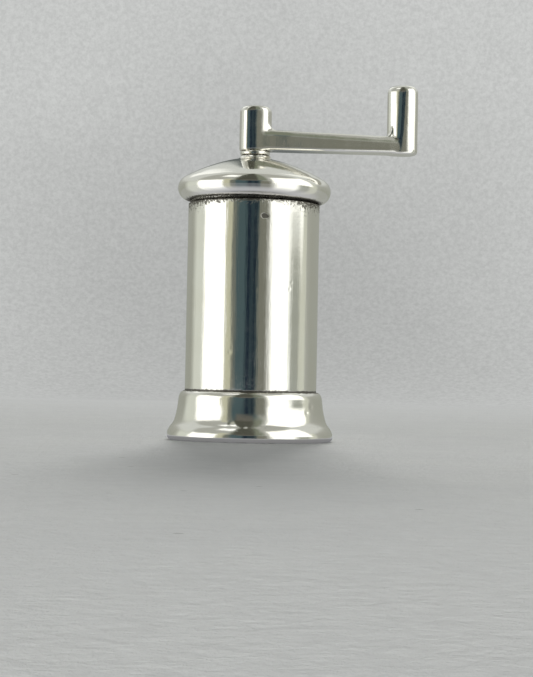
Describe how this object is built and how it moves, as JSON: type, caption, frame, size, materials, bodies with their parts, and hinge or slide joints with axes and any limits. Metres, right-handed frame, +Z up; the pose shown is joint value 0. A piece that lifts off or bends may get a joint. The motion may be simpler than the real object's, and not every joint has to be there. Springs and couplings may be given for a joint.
{
  "type": "miniature crank pepper mill",
  "caption": "Small polished silver pepper mill: plain barrel on a flared foot, domed lift-off cap with a rolled rim, side crank with upright knob, and a toothed grinder inside.",
  "frame": {"origin": "on the barrel's axis, in the plane that the foot rests on", "axes": "+Z up along the barrel's axis towards the crank; +X along the crank's arm towards the knob at rest; +Y completes a right-handed frame, away from the side that faces the viewer"},
  "size_m": [0.0276, 0.0186, 0.0402],
  "materials": {
    "silver": "polished",
    "steel": "satin",
    "burr_steel": "satin",
    "spring_steel": "satin",
    "brass": "satin"
  },
  "bodies": {
    "housing": {"barrel": "silver", "flared_foot": "silver", "stator_burr": "burr_steel", "lower_bridge": "steel", "bridge_screws": "steel", "upper_bridge": "steel", "upper_bush": "brass", "spring_washer": "steel", "spring": "spring_steel"},
    "thrust": {"thrust_ball": "steel"},
    "adjuster": {"adjusting_screw": "steel"},
    "spindle_set": {"spindle": "steel", "rotor_burr": "burr_steel", "rotor_pin": "steel", "spring_collar": "steel", "collar_pin": "steel"},
    "cap": {"cap_dome": "silver", "cap_sleeve": "silver", "cap_bush": "brass"},
    "crank_set": {"crank": "silver", "crank_shaft": "steel", "crank_washer": "silver", "thrust_washer": "steel", "drive_socket": "steel", "drive_pin": "steel"}
  },
  "joints": [
    {"name": "cap_lift", "type": "slide", "parent": "housing", "child": "cap", "axis": [0, 0, 1], "range_m": [0, 0.018]},
    {"name": "crank_turn", "type": "hinge", "parent": "cap", "child": "crank_set", "pos_m": [0, 0, 0.0324], "axis": [0, 0, 1], "continuous": true},
    {"name": "grind_set", "type": "slide", "parent": "housing", "child": "thrust", "axis": [0, 0, 1], "range_m": [0, 0.0004], "deforming": ["spring"]},
    {"name": "spindle_turn", "type": "hinge", "parent": "thrust", "child": "spindle_set", "pos_m": [0, 0, 0.003], "axis": [0, 0, 1], "continuous": true},
    {"name": "adjust_turn", "type": "hinge", "parent": "thrust", "child": "adjuster", "pos_m": [0, 0, 0.001], "axis": [0, 0, 1], "range_deg": [0, 360]}
  ],
  "couplings": [
    {"joint": "spindle_turn", "follows": "crank_turn", "ratio": 1},
    {"joint": "adjust_turn", "follows": "grind_set", "rad_per_m": 15708}
  ]
}
